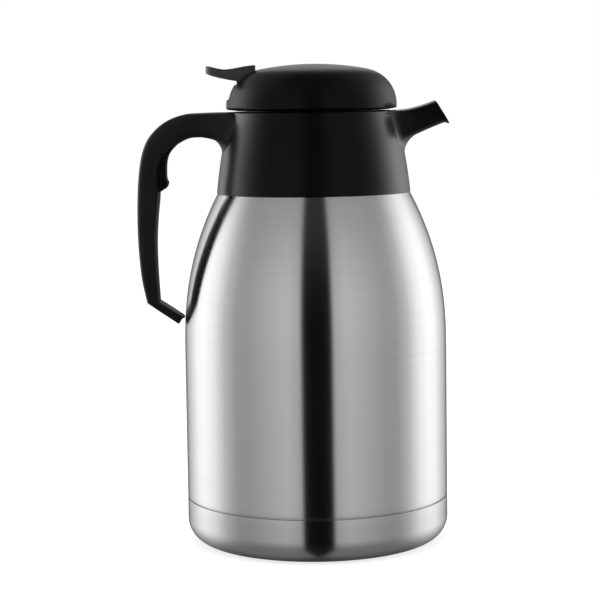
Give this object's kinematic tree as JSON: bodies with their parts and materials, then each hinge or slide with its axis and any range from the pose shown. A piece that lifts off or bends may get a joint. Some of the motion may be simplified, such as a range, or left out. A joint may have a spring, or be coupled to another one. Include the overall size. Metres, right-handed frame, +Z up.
{
  "type": "thermal carafe",
  "caption": "Double-walled steel vacuum carafe with a plastic pouring collar and handle, and a screw-off stopper lid whose thumb lever lifts a spring-loaded pouring valve.",
  "frame": {"origin": "on the flask's axis, at the plane the base cup stands on", "axes": "+Z up along the flask's axis, +X towards the spout, -X towards the handle, and XZ the plane of symmetry"},
  "size_m": [0.1661, 0.14, 0.2548],
  "materials": {
    "brushed_steel": "satin brushed stainless steel",
    "liner_steel": "plain drawn stainless steel",
    "getter_metal": "dull grey metal",
    "black_plastic": "semi-matt moulded black plastic",
    "lever_plastic": "semi-matt moulded black plastic",
    "inner_plastic": "plain moulded dark plastic",
    "soft_grip": "soft black elastomer",
    "silicone": "translucent white silicone",
    "red_silicone": "red-brown silicone",
    "screw_steel": "bright stainless steel"
  },
  "bodies": {
    "vessel": {"outer_shell": "brushed_steel", "inner_liner": "liner_steel", "base_cup": "brushed_steel", "vacuum_disc": "liner_steel", "getter": "getter_metal", "evacuation_seal": "getter_metal", "collar": "black_plastic", "pour_bowl": "black_plastic", "neck_nut": "inner_plastic", "neck_gasket": "silicone", "handle": "black_plastic", "handle_strip": "soft_grip", "handle_screws": "screw_steel", "handle_pad": "soft_grip"},
    "lid_seal": {"stopper_gasket": "silicone"},
    "lid": {"stopper": "black_plastic", "lid_dome": "black_plastic", "lid_screws": "screw_steel", "stem_seal": "red_silicone", "lever_pin": "screw_steel", "valve_spring": "screw_steel"},
    "lever": {"thumb_lever": "lever_plastic"},
    "valve": {"valve_stem": "screw_steel", "valve_disc": "inner_plastic", "valve_seal": "silicone", "stem_clip": "screw_steel"}
  },
  "joints": [
    {"name": "lid_lift", "type": "slide", "parent": "vessel", "child": "lid_seal", "axis": [0, 0, 1], "range_m": [0, 0.0401]},
    {"name": "lid_turn", "type": "hinge", "parent": "lid_seal", "child": "lid", "pos_m": [0, 0, 0.2305], "axis": [0, 0, 1], "range_deg": [0, 360]},
    {"name": "lever_press", "type": "hinge", "parent": "lid", "child": "lever", "pos_m": [-0.0335, 0, 0.2415], "axis": [0, -1, 0], "range_deg": [0, 11.1]},
    {"name": "valve_lift", "type": "slide", "parent": "lid", "child": "valve", "axis": [0, 0, 1], "range_m": [0, 0.0064], "stiffness_N_per_m": 500, "springref_m": -0.008, "deforming": ["valve_spring"]}
  ],
  "couplings": [
    {"joint": "lid_lift", "follows": "lid_turn", "m_per_rad": 0.0063662},
    {"joint": "lever_press", "follows": "valve_lift", "rad_per_m": 30.25}
  ]
}
